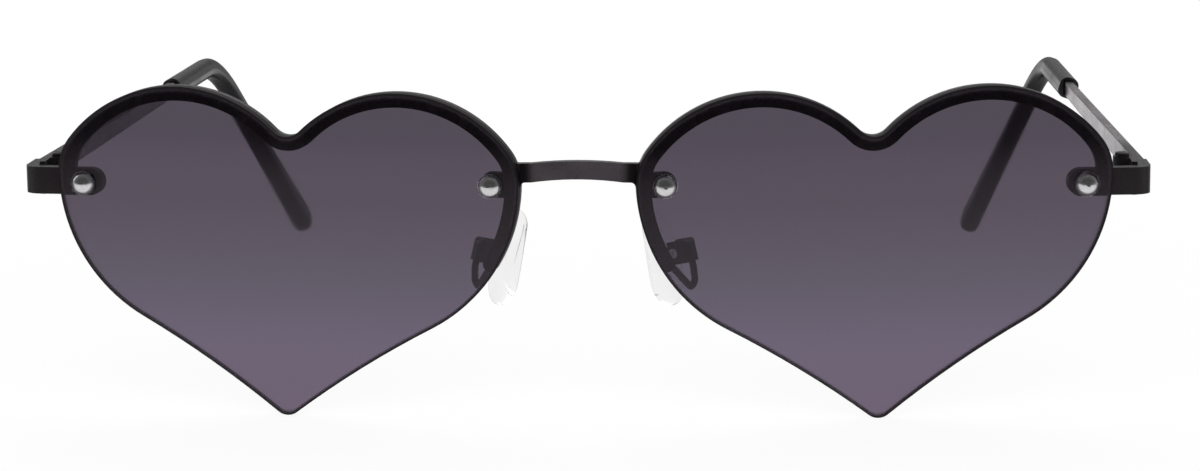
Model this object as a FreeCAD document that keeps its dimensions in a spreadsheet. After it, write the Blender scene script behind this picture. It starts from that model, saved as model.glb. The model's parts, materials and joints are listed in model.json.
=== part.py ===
"""Heart shaped sunglasses: flat tinted lenses screwed in front of a wire rim, with folding temples.

Frame: millimetres, +Z up, the front of the glasses faces -Y and the wearer's left side is +X.
The glasses stand open on the two heart tips and the two temple tips, with the origin at the
middle of their box on that floor.  Left pieces are modelled, right pieces are their mirror images.
"""
import FreeCAD, Part
import math
import os
import Sketcher

Vector = FreeCAD.Vector
Rotation = FreeCAD.Rotation
Placement = FreeCAD.Placement

SIDE_AXIS = Vector(1, 0, 0)
DEPTH_AXIS = Vector(0, 1, 0)
UP_AXIS = Vector(0, 0, 1)

# Driving dimensions, in millimetres and degrees.
DIMENSIONS = {
    # Heart outline, measured from the lens centre
    "lens_half_width": 30.15,
    "lobe_height": 20.95,
    "dip_depth": 6.0,
    "dip_radius": 2.4,
    "side_radius": 7.0,
    "side_blend_angle": 37.5,
    "lower_radius": 21.4,
    "flank_radius": 137.0,
    "tip_radius": 2.0,
    "tip_drop": 21.3,
    # Lenses and how the front is set
    "lens_thickness": 1.6,
    "lens_bevel": 0.25,
    "wrap_angle": 6.0,
    "cant_angle": 1.05,
    "nose_gap": 15.3,
    "lens_setback": 67.75,
    # Rim wire behind the lens
    "rim_width": 1.9,
    "rim_depth": 1.2,
    "rim_end_angle": 30.2,
    "nasal_lug_radius": 1.6,
    # Lens screws, measured in from the lens edge and up from its centre
    "nasal_screw_inset": 3.6,
    "nasal_screw_height": 9.6,
    "temporal_screw_inset": 3.37,
    "temporal_screw_height": 8.1,
    "screw_radius": 0.7,
    "screw_end": 0.3,
    "head_radius": 1.45,
    "head_height": 1.05,
    "washer_radius": 1.62,
    "washer_thickness": 0.25,
    "nut_across_flats": 2.5,
    "nut_thickness": 1.2,
    "lens_hole_clearance": 0.08,
    "screw_fit": 0.02,
    # Bridge bar
    "bridge_height": 2.3,
    "bridge_thickness": 1.3,
    "bridge_rise": 10.65,
    "bridge_arch": 0.5,
    "bridge_forward": 1.2,
    "bridge_shoulder": 1.6,
    "bridge_top_fillet": 0.4,
    "bridge_bottom_fillet": 0.7,
    # End piece
    "end_piece_overhang": 4.89,
    "end_piece_height": 3.5,
    "end_piece_thickness": 1.6,
    "end_piece_bend": 2.3,
    "end_lug_reach": 2.2,
    "end_lug_round_share": 0.486,
    "return_leg": 4.8,
    # Hinge
    "knuckle_radius": 1.2,
    "middle_knuckle": 1.5,
    "barrel_height": 4.3,
    "knuckle_gap": 0.06,
    "knuckle_room": 0.3,
    "leaf_thickness": 0.7,
    "leaf_height": 2.8,
    "leaf_end_gap": 0.3,
    "temple_leaf_length": 6.5,
    "hinge_screw_radius": 0.6,
    "hinge_head_radius": 0.95,
    "hinge_head_height": 0.45,
    "running_clearance": 0.05,
    "butt_gap": 0.15,
    # Temple bar
    "toe_in_angle": 2.26,
    "bar_thickness": 1.3,
    "bar_front_height": 3.1,
    "bar_rear_height": 2.1,
    "bar_edge_radius": 0.25,
    "temple_reach": 103.0,
    # Temple tip and the core wire in it
    "sleeve_run": 29.0,
    "tail_length": 40.3,
    "bend_radius": 14.0,
    "bend_angle": 55.0,
    "lean_angle": 18.0,
    "sleeve_wall": 0.45,
    "sleeve_side_wall": 0.7,
    "sleeve_round_share": 0.828,
    "paddle_flare": 1.1,
    "mouth_depth": 3.0,
    "mouth_clearance": 0.1,
    "core_radius": 0.55,
    "core_fit": 0.05,
    "core_end_gap": 6.0,
    # Nose pad, its box and its arm, set from the nasal end of the rim
    "pad_screw_aside": 2.2,
    "pad_screw_drop": 0.25,
    "pad_screw_depth": 12.2,
    "pad_splay_angle": 25.0,
    "pad_frontal_angle": 14.0,
    "arm_radius": 0.45,
    "arm_bend": 0.7,
    "arm_root": 2.0,
    "arm_stub": 0.8,
    "arm_low_aside": 4.5,
    "arm_low_drop": 6.0,
    "arm_low_depth": 13.2,
    "box_wall": 0.5,
    "box_back_wall": 1.1,
    "box_round": 0.9,
    "box_height": 3.0,
    "box_width": 2.0,
    "box_back": 1.0,
    "box_front": 0.8,
    "tongue_radius": 0.7,
    "tongue_clearance": 0.1,
    "pad_gap": 0.8,
    "pad_thickness": 2.4,
    "pad_lower_radius": 3.6,
    "pad_upper_radius": 2.7,
    "pad_spacing": 6.6,
    "pad_round_share": 0.458,
    "pad_screw_radius": 0.35,
    "pad_head_radius": 0.65,
    "pad_head_height": 0.3,
    # One overrun for all cuts
    "cut_overrun": 4.0,
}

# Two points nearer than this are the same point, in millimetres.
SAME_POINT = 1e-6
NUT_SIDES = 6

doc = FreeCAD.newDocument("heart_sunglasses")
sheet = doc.addObject("Spreadsheet::Sheet", "sizes")
for row, (alias, value) in enumerate(DIMENSIONS.items(), start=1):
    sheet.set(f"A{row}", alias)
    sheet.set(f"B{row}", str(value))
    sheet.setAlias(f"B{row}", alias)
doc.recompute()


def size(alias):
    """A driving dimension as the sheet holds it."""
    return float(sheet.get(alias))


def radians(alias):
    """A driving angle in radians."""
    return math.radians(size(alias))


def polar(centre, radius, angle):
    """The point of a circle at an angle in radians."""
    return Vector(centre.x + radius * math.cos(angle), centre.y + radius * math.sin(angle), 0)


def towards(start, goal, distance):
    """The point that lies a distance from start on the way to goal."""
    return start + (goal - start).normalize() * distance


def flip(point):
    """A sketch point mirrored in the sketch's vertical axis."""
    return Vector(-point.x, point.y, 0)


def arc(start, middle, end):
    return Part.ArcOfCircle(start, middle, end)


def arc_about(centre, start, end):
    """The shorter arc from start to end about a centre."""
    radius = (start - centre).Length
    halfway = towards(centre, (start + end) / 2, radius)
    return arc(start, halfway, end)


def polygon(points):
    """Closed run of straight lines through sketch points."""
    following = points[1:] + points[:1]
    return [(Part.LineSegment(start, end), None) for start, end in zip(points, following)]


def rectangle(left, bottom, right, top):
    corners = [(left, bottom), (right, bottom), (right, top), (left, top)]
    return polygon([Vector(x, y, 0) for x, y in corners])


def disc(radius, centre=Vector()):
    """Circle of a named radius."""
    return [(Part.Circle(centre, UP_AXIS, size(radius)), f"sizes.{radius}")]


def bore(radius, clearance, centre=Vector()):
    """Hole of a named radius and a named clearance round it."""
    total = size(radius) + size(clearance)
    return [(Part.Circle(centre, UP_AXIS, total), f"sizes.{radius} + sizes.{clearance}")]


def new_body(label, placement=None):
    body = doc.addObject("PartDesign::Body", label)
    body.Label = label
    body.Placement = placement or Placement()
    return body


def new_sketch(body, name, role, outlines, offset=None):
    """Sketch on an origin plane of its body, holding closed outlines of (curve, radius expression)."""
    sketch = body.newObject("Sketcher::SketchObject", name)
    plane = [item for item in body.Origin.OriginFeatures if item.Role == role][0]
    sketch.AttachmentSupport = [(plane, "")]
    sketch.MapMode = "FlatFace"
    sketch.AttachmentOffset = offset or Placement()
    for outline in outlines:
        add_outline(sketch, outline)
    return sketch


def add_outline(sketch, outline):
    """Add joined curves, tie their ends together and bind their radii to the sheet."""
    indices = [sketch.addGeometry(curve, False) for curve, _ in outline]
    for index, following in zip(indices, indices[1:] + indices[:1]):
        if index != following:
            tie_ends(sketch, index, following)
    for index, (curve, expression) in zip(indices, outline):
        if expression:
            number = sketch.addConstraint(Sketcher.Constraint("Radius", index, curve.Radius))
            sketch.setExpression(f"Constraints[{number}]", expression)


def tie_ends(sketch, index, following):
    for end in (1, 2):
        for start in (1, 2):
            gap = sketch.getPoint(index, end).distanceToPoint(sketch.getPoint(following, start))
            if gap < SAME_POINT:
                sketch.addConstraint(Sketcher.Constraint("Coincident", index, end, following, start))
                return


def back(distance):
    """Offset of a sketch on the XZ plane, towards the back of the glasses."""
    return Placement(Vector(0, 0, -distance), Rotation())


def up(distance):
    """Offset of a sketch on the XY plane."""
    return Placement(Vector(0, 0, distance), Rotation())


def pad(body, name, sketch, expression, reverse=False, middle=False):
    feature = body.newObject("PartDesign::Pad", name)
    feature.Profile = sketch
    feature.setExpression("Length", expression)
    feature.Reversed = reverse
    feature.Midplane = middle
    doc.recompute()
    return feature


def pocket(body, name, sketch, expression, middle=False):
    """Cut that has to take material away."""
    before = body.Shape.Volume
    feature = body.newObject("PartDesign::Pocket", name)
    feature.Profile = sketch
    feature.setExpression("Length", expression)
    feature.Midplane = middle
    doc.recompute()
    if before - body.Shape.Volume < SAME_POINT:
        raise RuntimeError(f"{body.Label}: {name} cuts nothing")
    return feature


def revolve(body, name, sketch):
    """Turn a half profile once round the sketch's vertical axis."""
    feature = body.newObject("PartDesign::Revolution", name)
    feature.Profile = sketch
    feature.ReferenceAxis = (sketch, ["V_Axis"])
    feature.Angle = 360
    doc.recompute()
    return feature


def round_edges(body, name, kind, wanted, expression):
    """Fillet or chamfer those edges of the tip feature that the test wants."""
    base = body.Tip
    names = [f"Edge{number}" for number, edge in enumerate(base.Shape.Edges, start=1) if wanted(edge)]
    if not names:
        raise RuntimeError(f"{body.Label}: {name} finds no edge")
    feature = body.newObject(f"PartDesign::{kind}", name)
    feature.Base = (base, names)
    feature.setExpression("Radius" if kind == "Fillet" else "Size", expression)
    doc.recompute()
    return feature


def edge_middle(edge):
    return edge.valueAt((edge.FirstParameter + edge.LastParameter) / 2)


def group(label, members):
    """Separate solids of one kind in one node."""
    compound = doc.addObject("Part::Compound", label)
    compound.Label = label
    compound.Links = members
    return compound


def mirror(source, label):
    """The same piece on the other side of the glasses."""
    copy = doc.addObject("Part::Mirroring", label)
    copy.Label = label
    copy.Source = source
    copy.Base = Vector(0, 0, 0)
    copy.Normal = SIDE_AXIS
    return copy


# Heart outline, worked out from tangent circles

dip_height = size("lobe_height") - size("dip_depth")


def lobe_radius():
    """Radius of the lobe circle that touches the dip circle and the side circle."""
    lean = math.cos(radians("side_blend_angle"))
    reach = size("lens_half_width") - size("side_radius") * (1 - lean)
    fall = size("dip_depth") - size("dip_radius")
    half = reach * lean + fall + size("dip_radius")
    rest = reach ** 2 + fall ** 2 - size("dip_radius") ** 2
    return (half - math.sqrt(half ** 2 - lean ** 2 * rest)) / lean ** 2


def heart_centres():
    """Centres of the circles on the temporal half of the heart."""
    blend = radians("side_blend_angle")
    lobe = lobe_radius()
    spread = lobe - size("side_radius")
    side_x = size("lens_half_width") - size("side_radius")
    lobe_y = size("lobe_height") - lobe
    side_y = lobe_y + spread * math.sin(blend)
    centres = {
        "dip": Vector(0, dip_height + size("dip_radius"), 0),
        "lobe": Vector(side_x - spread * math.cos(blend), lobe_y, 0),
        "side": Vector(side_x, side_y, 0),
        "lower": Vector(size("lens_half_width") - size("lower_radius"), side_y, 0),
        "tip": Vector(0, size("tip_radius") - size("tip_drop"), 0),
    }
    centres["flank"] = flank_centre(centres["lower"], centres["tip"])
    return centres


def flank_centre(lower, tip):
    """Centre of the hollow flank that touches the lower circle and the tip circle from outside."""
    to_lower = size("flank_radius") + size("lower_radius")
    to_tip = size("flank_radius") + size("tip_radius")
    span = (lower - tip).Length
    along = (to_tip ** 2 - to_lower ** 2 + span ** 2) / (2 * span)
    aside = math.sqrt(to_tip ** 2 - along ** 2)
    direction = (lower - tip).normalize()
    outward = Vector(direction.y, -direction.x, 0)
    return tip + direction * along + outward * aside


def cant(point):
    """Turn a point of the heart so that its temporal lobe stands higher."""
    return Rotation(UP_AXIS, size("cant_angle")).multVec(point)


def canted(outline):
    """Turn a whole outline with the heart."""
    turn = FreeCAD.Matrix()
    turn.rotateZ(radians("cant_angle"))
    for curve, _ in outline:
        curve.transform(turn)
    return outline


def heart_outline():
    centres = heart_centres()
    lobe = lobe_radius()
    dip = towards(centres["lobe"], centres["dip"], lobe)
    shoulder = centres["side"] + (centres["side"] - centres["lobe"]).normalize() * size("side_radius")
    widest = centres["side"] + Vector(size("side_radius"), 0, 0)
    hip = towards(centres["lower"], centres["flank"], size("lower_radius"))
    foot = towards(centres["tip"], centres["flank"], size("tip_radius"))
    dip_bottom = Vector(0, dip_height, 0)
    point = Vector(0, -size("tip_drop"), 0)
    temporal = [
        (arc_about(centres["lobe"], dip, shoulder), None),
        (arc_about(centres["side"], shoulder, widest), "sizes.side_radius"),
        (arc_about(centres["lower"], widest, hip), "sizes.lower_radius"),
        (arc_about(centres["flank"], hip, foot), "sizes.flank_radius"),
    ]
    nasal = [
        (arc_about(flip(centres["flank"]), flip(foot), flip(hip)), "sizes.flank_radius"),
        (arc_about(flip(centres["lower"]), flip(hip), flip(widest)), "sizes.lower_radius"),
        (arc_about(flip(centres["side"]), flip(widest), flip(shoulder)), "sizes.side_radius"),
        (arc_about(flip(centres["lobe"]), flip(shoulder), flip(dip)), None),
    ]
    bottom = [(arc(foot, point, flip(foot)), "sizes.tip_radius")]
    top = [(arc(flip(dip), dip_bottom, dip), "sizes.dip_radius")]
    return canted(temporal + bottom + nasal + top)


def rim_edge(inset, expression_inset):
    """Edge of the rim wire from its temporal end over the dip to its nasal end, set in from the lens."""
    centres = heart_centres()
    lobe = lobe_radius() - inset
    side = size("side_radius") - inset
    end = polar(centres["lower"], size("lower_radius") - inset, -radians("rim_end_angle"))
    dip = towards(centres["lobe"], centres["dip"], lobe)
    shoulder = centres["side"] + (centres["side"] - centres["lobe"]).normalize() * side
    widest = centres["side"] + Vector(side, 0, 0)
    dip_bottom = Vector(0, dip_height - inset, 0)
    lower_radius = f"sizes.lower_radius{expression_inset}"
    side_radius = f"sizes.side_radius{expression_inset}"
    temporal = [
        (arc_about(centres["lower"], end, widest), lower_radius),
        (arc_about(centres["side"], widest, shoulder), side_radius),
        (arc_about(centres["lobe"], shoulder, dip), None),
    ]
    nasal = [
        (arc_about(flip(centres["lobe"]), flip(dip), flip(shoulder)), None),
        (arc_about(flip(centres["side"]), flip(shoulder), flip(widest)), side_radius),
        (arc_about(flip(centres["lower"]), flip(widest), flip(end)), lower_radius),
    ]
    top = [(arc(dip, dip_bottom, flip(dip)), None)]
    return temporal + top + nasal, end


def rim_end():
    """Middle of the rounded nasal end of the rim, on the upright lens."""
    centre = flip(heart_centres()["lower"])
    middle_radius = size("lower_radius") - size("rim_width") / 2
    return cant(polar(centre, middle_radius, math.pi + radians("rim_end_angle")))


def rim_outline():
    outer, outer_end = rim_edge(0, "")
    inner, inner_end = rim_edge(size("rim_width"), " - sizes.rim_width")
    turn = radians("rim_end_angle") + math.pi / 2
    middle = (outer_end + inner_end) / 2
    cap = polar(middle, size("rim_width") / 2, -turn)
    nasal_cap = arc(flip(outer_end), flip(cap), flip(inner_end))
    temporal_cap = arc(inner_end, cap, outer_end)
    cap_radius = "sizes.rim_width / 2"
    inner.reverse()
    return canted(outer + [(nasal_cap, cap_radius)] + inner + [(temporal_cap, cap_radius)])


# Where things stand

wrap = radians("wrap_angle")
half_width = size("lens_half_width")
lens_centre = Vector(
    size("nose_gap") / 2 + half_width * math.cos(wrap),
    -size("lens_setback"),
    size("tip_radius") + (size("tip_drop") - size("tip_radius")) * math.cos(radians("cant_angle")),
)
lens_place = Placement(lens_centre, Rotation(UP_AXIS, size("wrap_angle")))

nasal_along = size("nasal_screw_inset") - half_width
temporal_along = half_width - size("temporal_screw_inset")
nasal_screw = cant(Vector(nasal_along, size("nasal_screw_height"), 0))
temporal_screw = cant(Vector(temporal_along, size("temporal_screw_height"), 0))
lens_back = size("lens_thickness")
rim_back = lens_back + size("rim_depth")
end_lug_back = lens_back + size("end_piece_thickness")

# Directions of the end piece's return leg and of its outer side, seen on the lens
leg_direction = Vector(math.sin(wrap), math.cos(wrap), 0)
leg_outward = Vector(math.cos(wrap), -math.sin(wrap), 0)
outer_face = half_width * math.cos(wrap) + size("end_piece_overhang")
bend_depth = lens_back + size("end_piece_bend")
bend_along = (outer_face - size("end_piece_bend") + bend_depth * math.sin(wrap)) / math.cos(wrap)
bend_centre = Vector(bend_along, bend_depth, 0)
butt_middle = bend_centre + leg_direction * size("return_leg")

# The hinge axis stands inside the end piece, in the middle of the butt gap
hinge_offset = size("knuckle_radius") + size("knuckle_room")
axis_inward = size("end_piece_bend") - size("end_piece_thickness") - hinge_offset
axis_on_lens = butt_middle + leg_outward * axis_inward + leg_direction * (size("butt_gap") / 2)
hinge_point = lens_place.multVec(Vector(axis_on_lens.x, axis_on_lens.y, temporal_screw.y))
bar_outer = hinge_offset + size("end_piece_thickness")
bar_inner = bar_outer - size("bar_thickness")
bar_middle = bar_outer - size("bar_thickness") / 2

sleeve_start = size("temple_reach") - size("sleeve_run")
mouth_end = sleeve_start + size("mouth_depth")
tangent_length = size("bend_radius") * math.tan(radians("bend_angle") / 2)
# The sleeve of the tip is a wall round the mouth that takes the bar
sleeve_half_height = size("bar_rear_height") / 2 + size("mouth_clearance") + size("sleeve_wall")
sleeve_half_width = size("bar_thickness") / 2 + size("mouth_clearance") + size("sleeve_side_wall")
SLEEVE_HALF_HEIGHT = "(sizes.bar_rear_height / 2 + sizes.mouth_clearance + sizes.sleeve_wall)"
SLEEVE_HALF_WIDTH = "(sizes.bar_thickness / 2 + sizes.mouth_clearance + sizes.sleeve_side_wall)"
paddle_radius = sleeve_half_height + size("paddle_flare")
tail_run = size("tail_length") - tangent_length - paddle_radius


def temple_pitch():
    """Upward slope of the temples, in degrees, that sets the tip ends down on the floor."""
    turn = radians("bend_angle")
    lean = radians("lean_angle")
    toe_in = radians("toe_in_angle")
    edge = sleeve_half_width * size("sleeve_round_share")
    reach = size("tail_length") - paddle_radius
    paddle_depth = (paddle_radius - edge) * math.cos(lean) + edge
    paddle_depth += (sleeve_half_width - edge) * math.sin(lean)
    inward = reach * math.sin(turn) * math.sin(lean) - bar_middle
    along = (size("temple_reach") + reach * math.cos(turn)) * math.cos(toe_in) - inward * math.sin(toe_in)
    drop = reach * math.sin(turn) * math.cos(lean) + paddle_depth
    distance = math.hypot(along, drop)
    return math.degrees(math.atan2(drop, along) - math.asin(hinge_point.z / distance))


hinge_place = Placement(hinge_point, Rotation(SIDE_AXIS, temple_pitch()))
temple_place = hinge_place.multiply(Placement(Vector(), Rotation(UP_AXIS, size("toe_in_angle"))))

pad_splay = Rotation(UP_AXIS, -size("pad_splay_angle"))
pad_turn = pad_splay.multiply(Rotation(DEPTH_AXIS, -size("pad_frontal_angle")))
nasal_end = rim_end()
pad_along = nasal_end.x + size("pad_screw_aside")
pad_height = nasal_end.y - size("pad_screw_drop")
pad_point = lens_place.multVec(Vector(pad_along, size("pad_screw_depth"), pad_height))
pad_place = Placement(pad_point, pad_turn)
box_outer_back = size("box_back") + size("box_back_wall")
box_half_width = size("box_width") / 2 + size("box_wall")
pad_back = size("box_front") + size("pad_gap")


# Front: lens, rim, bridge and end piece

def make_lens():
    body = new_body("left_lens", lens_place)
    screws = (nasal_screw, temporal_screw)
    holes = [bore("screw_radius", "lens_hole_clearance", centre) for centre in screws]
    sketch = new_sketch(body, "lens_outline", "XZ_Plane", [heart_outline()] + holes)
    pad(body, "lens_blank", sketch, "sizes.lens_thickness", reverse=True)

    def front_outline(edge):
        on_front = all(abs(vertex.Y) < SAME_POINT for vertex in edge.Vertexes)
        return on_front and len(edge.Vertexes) > 1
    round_edges(body, "lens_edge", "Chamfer", front_outline, "sizes.lens_bevel")
    return body


def make_rim():
    body = new_body("left_rim", lens_place)
    wire = new_sketch(body, "rim_outline", "XZ_Plane", [rim_outline()], back(lens_back))
    pad(body, "rim_wire", wire, "sizes.rim_depth", reverse=True)

    stop = temporal_screw.y + size("end_piece_height") / 2
    waste = rectangle(0, -half_width, half_width + size("cut_overrun"), stop)
    seat = new_sketch(body, "end_piece_seat", "XZ_Plane", [waste], back(lens_back))
    pocket(body, "temporal_end", seat, "sizes.rim_depth + sizes.cut_overrun")

    screw = Vector(nasal_along, size("nasal_screw_height"), 0)
    radius = size("nasal_lug_radius")
    root = size("rim_width") / 2 - half_width
    top = Vector(screw.x, screw.y + radius, 0)
    bottom = Vector(screw.x, screw.y - radius, 0)
    root_top = Vector(root, top.y, 0)
    root_bottom = Vector(root, bottom.y, 0)
    lug = [
        (Part.LineSegment(root_top, top), None),
        (arc(top, Vector(screw.x + radius, screw.y, 0), bottom), "sizes.nasal_lug_radius"),
        (Part.LineSegment(bottom, root_bottom), None),
        (Part.LineSegment(root_bottom, root_top), None),
    ]
    hole = bore("screw_radius", "screw_fit", nasal_screw)
    sketch = new_sketch(body, "nasal_lug_outline", "XZ_Plane", [canted(lug), hole], back(lens_back))
    pad(body, "nasal_lug", sketch, "sizes.rim_depth", reverse=True)
    return body


def rim_touch(circle, radius, level, fillet):
    """Fillet between a level edge and the round rim, in front view: its start, its centre and its end.

    A fillet above the edge has a positive radius, one below the edge a negative radius.
    """
    reach = radius + abs(fillet)
    rise = level + fillet - circle.y
    centre = Vector(circle.x - math.sqrt(reach ** 2 - rise ** 2), level + fillet, 0)
    return Vector(centre.x, level, 0), centre, towards(circle, centre, radius)


def make_bridge():
    """Bar that steps forward between the rims, arched in front view and cut to the rims' outer edge."""
    body = new_body("bridge_bar")
    middle_depth = lens_back + size("rim_depth") / 2
    radius = size("side_radius")
    nasal_side = cant(flip(heart_centres()["side"]))
    widest = lens_place.multVec(Vector(nasal_side.x - radius, middle_depth, nasal_side.y))
    circle = Vector(widest.x + radius, widest.z, 0)
    level = lens_centre.z + size("bridge_rise")
    edge = circle.x - math.sqrt(radius ** 2 - (level - circle.y) ** 2)
    run_out = edge + size("cut_overrun")
    shoulder = edge - size("bridge_shoulder")
    half = size("bridge_thickness") / 2
    forward = widest.y - size("bridge_forward")
    right_side = [(shoulder, forward), (edge, widest.y), (run_out, widest.y)]
    front = [Vector(x, y - half, 0) for x, y in right_side]
    rear = [Vector(x, y + half, 0) for x, y in right_side]
    plan = front + rear[::-1] + [flip(point) for point in rear] + [flip(point) for point in front[::-1]]
    strip = new_sketch(body, "bridge_plan", "XY_Plane", [polygon(plan)], up(level))
    pad(body, "bridge_strip", strip, "2 * sizes.bridge_height + 2 * sizes.bridge_arch", middle=True)

    top = level + size("bridge_height") / 2
    bottom = level - size("bridge_height") / 2
    rise = Vector(0, size("bridge_arch"), 0)
    top_fillet = size("bridge_top_fillet")
    bottom_fillet = size("bridge_bottom_fillet")
    corner_top, upper_centre, outer_top = rim_touch(circle, radius, top, top_fillet)
    corner_bottom, lower_centre, outer_bottom = rim_touch(circle, radius, bottom, -bottom_fillet)
    end_top = Vector(run_out, outer_top.y, 0)
    end_bottom = Vector(run_out, outer_bottom.y, 0)
    over = "sizes.bridge_top_fillet"
    under = "sizes.bridge_bottom_fillet"
    profile = [
        (arc(flip(corner_top), Vector(0, top, 0) + rise, corner_top), None),
        (arc_about(upper_centre, corner_top, outer_top), over),
        (Part.LineSegment(outer_top, end_top), None),
        (Part.LineSegment(end_top, end_bottom), None),
        (Part.LineSegment(end_bottom, outer_bottom), None),
        (arc_about(lower_centre, outer_bottom, corner_bottom), under),
        (arc(corner_bottom, Vector(0, bottom, 0) + rise, flip(corner_bottom)), None),
        (arc_about(flip(lower_centre), flip(corner_bottom), flip(outer_bottom)), under),
        (Part.LineSegment(flip(outer_bottom), flip(end_bottom)), None),
        (Part.LineSegment(flip(end_bottom), flip(end_top)), None),
        (Part.LineSegment(flip(end_top), flip(outer_top)), None),
        (arc_about(flip(upper_centre), flip(outer_top), flip(corner_top)), over),
    ]
    margin = size("cut_overrun")
    wide = run_out + margin
    frame = rectangle(-wide, end_bottom.y - margin, wide, end_top.y + margin)
    waste = new_sketch(body, "bridge_front", "XZ_Plane", [frame, profile])
    through = "2 * (sizes.lens_setback + sizes.lens_half_width)"
    pocket(body, "bridge_arching", waste, through, middle=True)

    prism = new_body("heart_cutter", lens_place)
    heart = new_sketch(prism, "cutter_outline", "XZ_Plane", [heart_outline()])
    deep = "2 * (sizes.lens_thickness + sizes.rim_depth + sizes.cut_overrun)"
    pad(prism, "cutter_block", heart, deep, middle=True)
    cutters = group("heart_cutters", [prism, mirror(prism, "right_heart_cutter")])
    bridge = doc.addObject("Part::Cut", "bridge")
    bridge.Label = "bridge"
    bridge.Base = body
    bridge.Tool = cutters
    return bridge


def make_end_piece():
    """Lug behind the lens, bent round the corner into a short leg that runs straight back."""
    body = new_body("left_end_piece", lens_place)
    outer_radius = size("end_piece_bend")
    inner_radius = outer_radius - size("end_piece_thickness")
    inner_end = temporal_screw.x - size("end_lug_reach")
    half_turn = (math.pi / 2 - wrap) / 2
    halfway = Vector(math.sin(half_turn), -math.cos(half_turn), 0)
    outer_start = Vector(bend_centre.x, lens_back, 0)
    inner_start = Vector(bend_centre.x, end_lug_back, 0)
    outer_turn = bend_centre + leg_outward * outer_radius
    inner_turn = bend_centre + leg_outward * inner_radius
    outer_butt = butt_middle + leg_outward * outer_radius
    inner_butt = butt_middle + leg_outward * inner_radius
    tip_front = Vector(inner_end, lens_back, 0)
    tip_back = Vector(inner_end, end_lug_back, 0)
    plan = [
        (Part.LineSegment(tip_front, outer_start), None),
        (arc(outer_start, bend_centre + halfway * outer_radius, outer_turn), "sizes.end_piece_bend"),
        (Part.LineSegment(outer_turn, outer_butt), None),
        (Part.LineSegment(outer_butt, inner_butt), None),
        (Part.LineSegment(inner_butt, inner_turn), None),
        (arc(inner_turn, bend_centre + halfway * inner_radius, inner_start),
         "sizes.end_piece_bend - sizes.end_piece_thickness"),
        (Part.LineSegment(inner_start, tip_back), None),
        (Part.LineSegment(tip_back, tip_front), None),
    ]
    sketch = new_sketch(body, "end_piece_plan", "XY_Plane", [plan], up(temporal_screw.y))
    pad(body, "end_piece_strip", sketch, "sizes.end_piece_height", middle=True)

    def inner_tip(edge):
        at_end = all(abs(vertex.X - inner_end) < SAME_POINT for vertex in edge.Vertexes)
        depths = [vertex.Y for vertex in edge.Vertexes]
        return at_end and max(depths) - min(depths) > SAME_POINT
    lug_round = "sizes.end_piece_height * sizes.end_lug_round_share"
    round_edges(body, "end_lug_end", "Fillet", inner_tip, lug_round)
    hole = bore("screw_radius", "screw_fit", temporal_screw)
    drill = new_sketch(body, "end_lug_hole", "XZ_Plane", [hole], back(lens_back))
    pocket(body, "screw_hole", drill, "sizes.end_piece_thickness")
    return body


# Lens screws, washers and nuts

def screw_places():
    """Name, place and lug thickness of the two lens screws of one side."""
    screws = {"nasal": (nasal_screw, "rim_depth"), "temporal": (temporal_screw, "end_piece_thickness")}
    for name, (point, lug) in screws.items():
        yield name, lens_place.multiply(Placement(Vector(point.x, 0, point.y), Rotation())), lug


def make_lens_screw(name, place, lug):
    body = new_body(f"{name}_lens_screw", place)
    radius = size("screw_radius")
    seat = -size("washer_thickness")
    crown = seat - size("head_height")
    end = lens_back + size(lug) + size("nut_thickness") + size("screw_end")
    head = size("head_radius")
    dome = (head ** 2 + size("head_height") ** 2) / (2 * size("head_height"))
    centre = Vector(0, crown + dome, 0)
    rim = Vector(head, seat, 0)
    top = Vector(0, crown, 0)
    profile = [
        (arc_about(centre, top, rim), None),
        (Part.LineSegment(rim, Vector(radius, seat, 0)), None),
        (Part.LineSegment(Vector(radius, seat, 0), Vector(radius, end, 0)), None),
        (Part.LineSegment(Vector(radius, end, 0), Vector(0, end, 0)), None),
        (Part.LineSegment(Vector(0, end, 0), top), None),
    ]
    revolve(body, "turned_screw", new_sketch(body, "screw_profile", "XY_Plane", [profile]))
    return body


def make_washer(name, place, lug):
    body = new_body(f"{name}_washer", place)
    outlines = [disc("washer_radius"), bore("screw_radius", "lens_hole_clearance")]
    pad(body, "ring", new_sketch(body, "ring_outline", "XZ_Plane", outlines), "sizes.washer_thickness")
    return body


def make_nut(name, place, lug):
    body = new_body(f"{name}_nut", place)
    turn = 2 * math.pi / NUT_SIDES
    corner = size("nut_across_flats") / 2 / math.cos(turn / 2)
    hexagon = polygon([polar(Vector(), corner, turn * number) for number in range(NUT_SIDES)])
    outlines = [hexagon, bore("screw_radius", "screw_fit")]
    sketch = new_sketch(body, "nut_outline", "XZ_Plane", outlines, back(lens_back + size(lug)))
    pad(body, "hex_nut", sketch, "sizes.nut_thickness", reverse=True)
    return body


def make_fasteners(label, maker):
    """One kind of lens fastener at all four screws."""
    left = [maker(name, place, lug) for name, place, lug in screw_places()]
    return group(label, left + [mirror(item, f"right_{item.Label}") for item in left])


# Hinge

def leaf_outline(plate_inner, plate_outer, plate_end, butt):
    """Knuckle with its web to the leaf plate, in plan about the hinge axis."""
    radius = size("knuckle_radius")
    side = math.copysign(1, plate_end)
    web_root = radius + size("knuckle_room")
    roll = Vector(0, side * radius, 0)
    close = Vector(math.sqrt(radius ** 2 - butt ** 2), butt, 0)
    corners = [
        close,
        Vector(plate_outer, butt, 0),
        Vector(plate_outer, plate_end, 0),
        Vector(plate_inner, plate_end, 0),
        Vector(plate_inner, side * web_root, 0),
        roll,
    ]
    lines = [(Part.LineSegment(start, end), None) for start, end in zip(corners, corners[1:])]
    return lines + [(arc(roll, Vector(-radius, 0, 0), close), "sizes.knuckle_radius")]


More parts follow.
